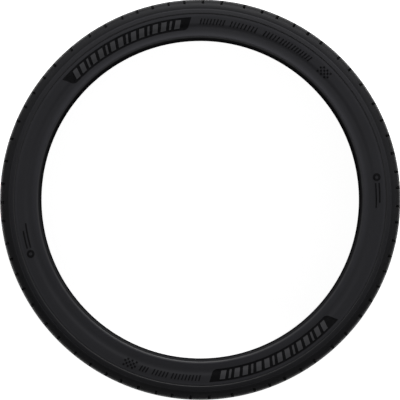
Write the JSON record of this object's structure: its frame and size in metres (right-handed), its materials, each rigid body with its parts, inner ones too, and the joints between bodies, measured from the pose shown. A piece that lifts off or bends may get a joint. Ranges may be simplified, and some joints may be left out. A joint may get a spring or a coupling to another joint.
{
  "type": "car tyre",
  "caption": "Low-profile radial car tyre in black rubber, with a grooved tread, rounded shoulders, shallow sidewall plaques and two round bead seats for its wheel.",
  "frame": {"origin": "the wheel's centre: on the tyre's axis, midway between the two beads", "axes": "+Z along the wheel's axis, out of the sidewall that the picture shows; +Y towards the top of the picture. The tyre lies on its other sidewall."},
  "size_m": [0.7058, 0.7058, 0.248],
  "materials": {
    "tyre": "matte black rubber with a faint sheen"
  },
  "bodies": {
    "root": {"tyre": "tyre"}
  },
  "joints": []
}
